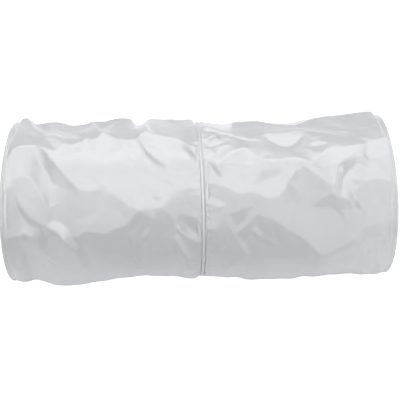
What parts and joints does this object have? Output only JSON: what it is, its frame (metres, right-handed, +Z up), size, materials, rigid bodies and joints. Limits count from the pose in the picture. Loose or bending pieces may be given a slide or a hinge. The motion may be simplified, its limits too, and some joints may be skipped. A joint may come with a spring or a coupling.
{
  "type": "cat tunnel",
  "caption": "Round collapsible cat tunnel of crumpled satin cloth on wire hoops, open at both ends, which folds flat along its axis.",
  "frame": {"origin": "on the floor under the middle of the tunnel, which stands open at full length", "axes": "+X along the tunnel to its right end, +Z up, and -Y towards the side that is seen"},
  "size_m": [0.588, 0.2561, 0.2512],
  "materials": {
    "satin_cloth": "white satin polyester, crumpled",
    "hem_tape": "white woven polyester tape",
    "seam_tape": "white woven polyester tape, matt",
    "rustling_film": "thin milky film, crinkled",
    "spring_wire": "drawn spring steel",
    "ferrule_steel": "zinc plated steel"
  },
  "bodies": {
    "centre": {"centre_hoop": "spring_wire", "centre_ferrule": "ferrule_steel", "centre_casing": "hem_tape", "left_cover": "satin_cloth", "left_film": "rustling_film", "left_seam_tape": "seam_tape", "right_cover": "satin_cloth", "right_film": "rustling_film", "right_seam_tape": "seam_tape"},
    "left_end": {"left_hoop": "spring_wire", "left_ferrule": "ferrule_steel", "left_hem": "hem_tape"},
    "right_end": {"right_hoop": "spring_wire", "right_ferrule": "ferrule_steel", "right_hem": "hem_tape"}
  },
  "joints": [
    {"name": "left_fold", "type": "slide", "parent": "centre", "child": "left_end", "axis": [1, 0, 0], "range_m": [0, 0.25], "deforming": ["left_cover", "left_film", "left_seam_tape"]},
    {"name": "right_fold", "type": "slide", "parent": "centre", "child": "right_end", "axis": [-1, 0, 0], "range_m": [0, 0.25], "deforming": ["right_cover", "right_film", "right_seam_tape"]}
  ]
}
